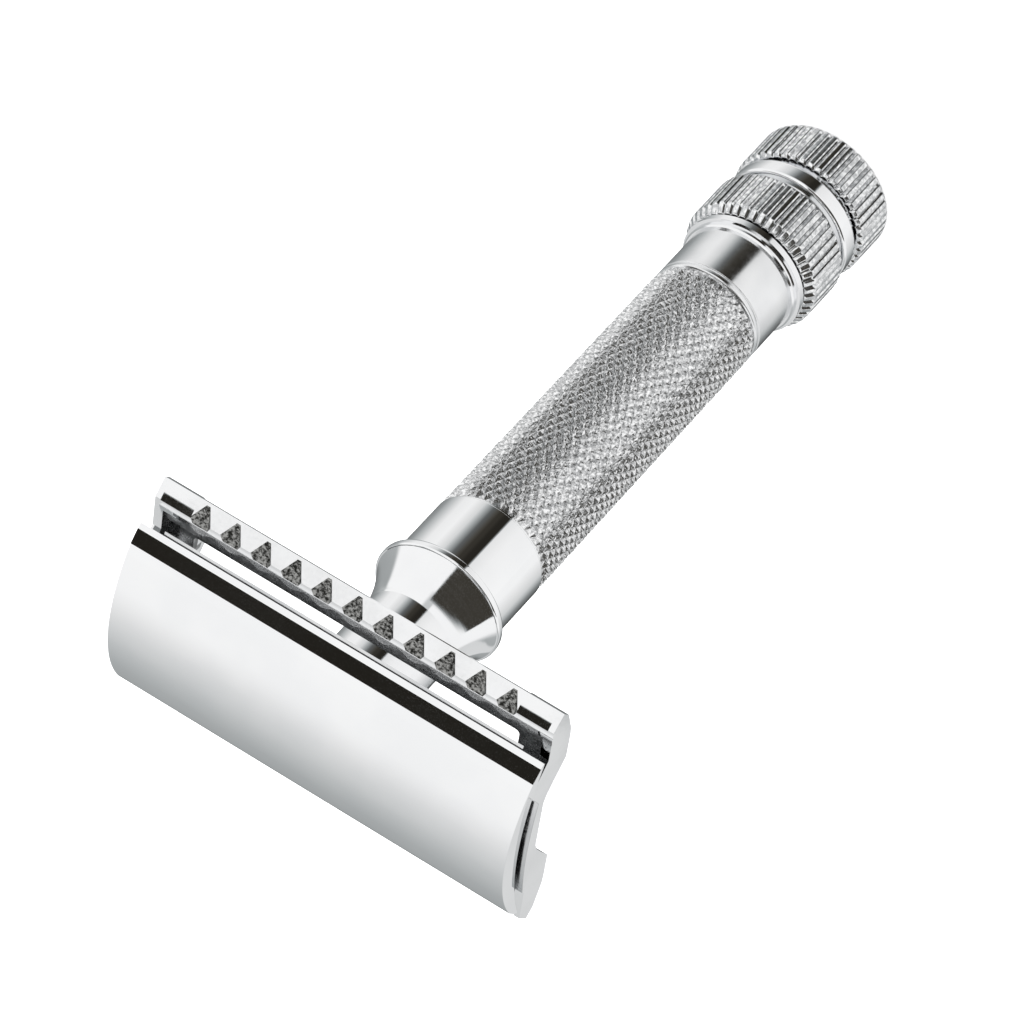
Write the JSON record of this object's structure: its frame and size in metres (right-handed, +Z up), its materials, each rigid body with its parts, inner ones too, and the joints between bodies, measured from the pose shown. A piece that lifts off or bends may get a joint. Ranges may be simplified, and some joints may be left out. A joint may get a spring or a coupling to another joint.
{
  "type": "safety razor",
  "caption": "Double-edge safety razor with a domed cap, notched guard plate, flared neck, knurled grip and fluted knob that draws the cap down.",
  "frame": {"origin": "centre of the knob's flat end, on the surface that the razor stands on", "axes": "+Z up the handle to the crown of the cap, X along the blade, Y across the blade"},
  "size_m": [0.043, 0.029, 0.0855],
  "materials": {
    "chrome_plate": "polished",
    "knurled_chrome": "knurled, bright",
    "blade_steel": "ground",
    "turned_steel": "turned",
    "turned_brass": "turned"
  },
  "bodies": {
    "handle": {"base_plate": "chrome_plate", "plate_spigot": "turned_brass", "neck_cone": "chrome_plate", "rim_ring": "chrome_plate", "grip_barrel": "knurled_chrome", "tail_ring": "chrome_plate", "upper_bush": "turned_brass", "lower_bush": "turned_brass", "spring_washer": "turned_steel"},
    "knob": {"knob": "chrome_plate", "knob_end_plug": "chrome_plate", "knob_screw": "turned_steel", "draw_rod": "turned_steel", "draw_socket": "turned_brass", "socket_pin": "turned_steel", "retaining_ring": "turned_steel"},
    "cap": {"cap_plate": "chrome_plate", "cap_stud": "turned_steel", "cap_pins": "chrome_plate"},
    "blade": {"blade": "blade_steel"}
  },
  "joints": [
    {"name": "cap_lift", "type": "slide", "parent": "handle", "child": "cap", "axis": [0, 0, 1], "range_m": [0, 0.006]},
    {"name": "knob_turn", "type": "hinge", "parent": "handle", "child": "knob", "pos_m": [0, 0, 0], "axis": [0, 0, -1], "range_deg": [0, 2700]},
    {"name": "blade_lift", "type": "slide", "parent": "handle", "child": "blade", "axis": [0, 0, 1], "range_m": [0, 0.0025]}
  ],
  "couplings": [
    {"joint": "knob_turn", "follows": "cap_lift", "rad_per_m": 7854},
    {"joint": "blade_lift", "follows": "cap_lift", "ratio": 0.41666}
  ]
}
